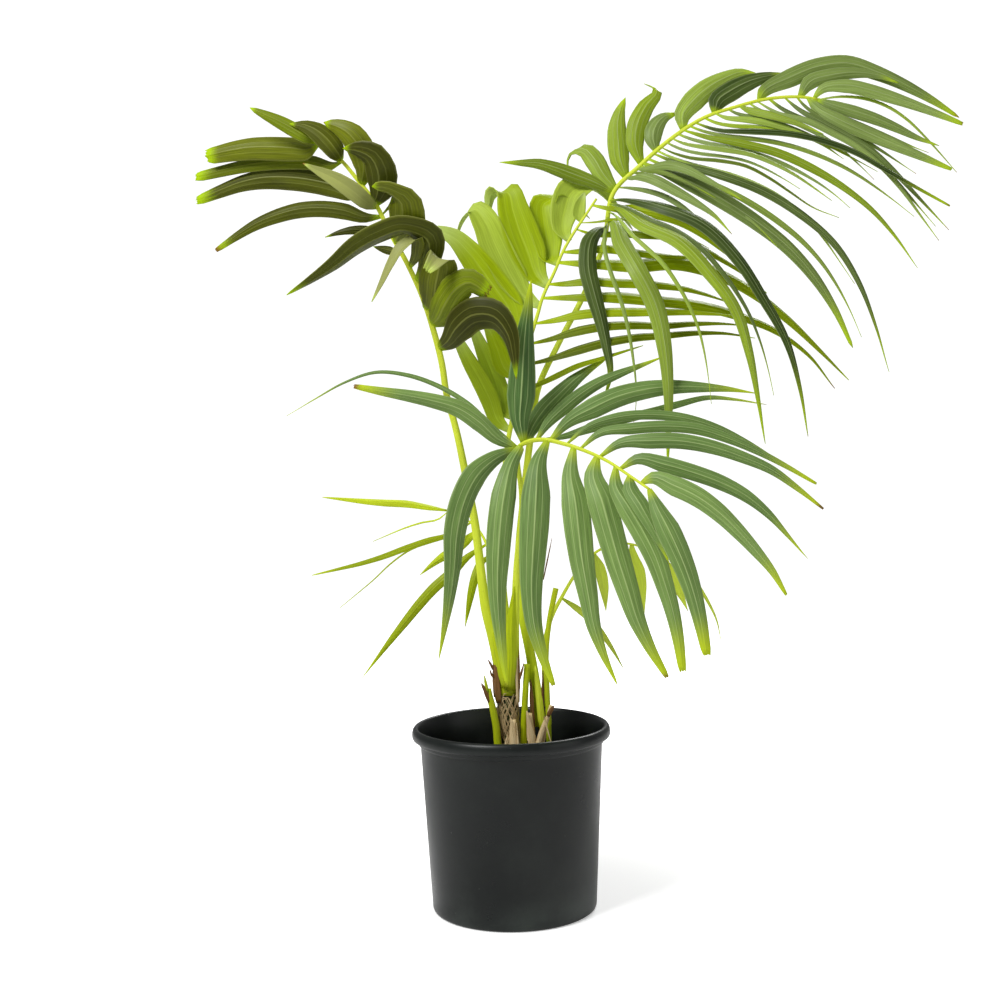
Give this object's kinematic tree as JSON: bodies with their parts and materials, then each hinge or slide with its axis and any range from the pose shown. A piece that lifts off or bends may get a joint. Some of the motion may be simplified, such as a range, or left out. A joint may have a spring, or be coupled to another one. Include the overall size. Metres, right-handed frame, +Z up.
{
  "type": "potted palm",
  "caption": "Young feather palm with arching fronds of long leaflets in a dark tapered plastic nursery pot.",
  "frame": {"origin": "middle of the pot's flat underside", "axes": "+Z straight up through the pot's axis; -Y towards the side that the lowest broad frond leans to; +X towards the side of the tallest frond"},
  "size_m": [0.969, 0.3524, 1.0718],
  "materials": {
    "leaf_olive": "satin",
    "leaf_lime": "satin",
    "leaf_sage": "satin",
    "leaf_deep": "satin",
    "leaf_young": "satin",
    "stalk_green": "satin",
    "sheath_green": "satin",
    "sheath_yellow": "satin",
    "dried_sheath": "matte",
    "stem_fibre": "matte",
    "stem_bark": "matte",
    "potting_mix": "matte",
    "pot_plastic": "semi-matte"
  },
  "bodies": {
    "root": {"centre_frond_broad_leaflets": "leaf_lime", "centre_frond_edge_leaflets": "leaf_lime", "centre_frond_stalk": "stalk_green", "crown_sheath": "sheath_green", "dried_sheath_front": "dried_sheath", "dried_stub_crossing": "dried_sheath", "dried_stub_orange": "dried_sheath", "fibre_netting": "stem_fibre", "front_frond_leaflet_hanging_1": "leaf_deep", "front_frond_leaflet_hanging_2": "leaf_deep", "front_frond_leaflet_hanging_3": "leaf_deep", "front_frond_leaflet_hanging_4": "leaf_deep", "front_frond_leaflet_hanging_5": "leaf_deep", "front_frond_leaflet_hanging_6": "leaf_deep", "front_frond_leaflet_hanging_7": "leaf_deep", "front_frond_leaflet_hanging_8": "leaf_deep", "front_frond_leaflet_left": "leaf_deep", "front_frond_leaflet_left_slim": "leaf_deep", "front_frond_leaflet_right_1": "leaf_deep", "front_frond_leaflet_right_2": "leaf_deep", "front_frond_leaflet_right_3": "leaf_deep", "front_frond_leaflet_right_3_slim": "leaf_deep", "front_frond_leaflet_right_4": "leaf_deep", "front_frond_leaflet_right_5": "leaf_deep", "front_frond_leaflet_right_6": "leaf_deep", "front_frond_leaflet_right_7": "leaf_deep", "front_frond_leaflet_right_8": "leaf_deep", "front_frond_leaflet_upright": "leaf_deep", "front_frond_stalk": "stalk_green", "left_frond_lower_leaflets": "leaf_olive", "left_frond_stalk": "stalk_green", "left_frond_upper_leaflets": "leaf_olive", "low_left_frond_leaflets": "leaf_young", "low_left_frond_stalk": "stalk_green", "low_right_frond_leaflets": "leaf_young", "low_right_frond_stalk": "stalk_green", "main_stem": "stem_bark", "nursery_pot": "pot_plastic", "potting_mix": "potting_mix", "right_stem": "stem_bark", "slim_green_shoot": "sheath_green", "tall_frond_lower_leaflets": "leaf_sage", "tall_frond_stalk": "stalk_green", "tall_frond_upper_leaflets": "leaf_sage", "yellow_cut_stalk": "sheath_yellow", "yellow_leaf_stub": "sheath_yellow"}
  },
  "joints": []
}
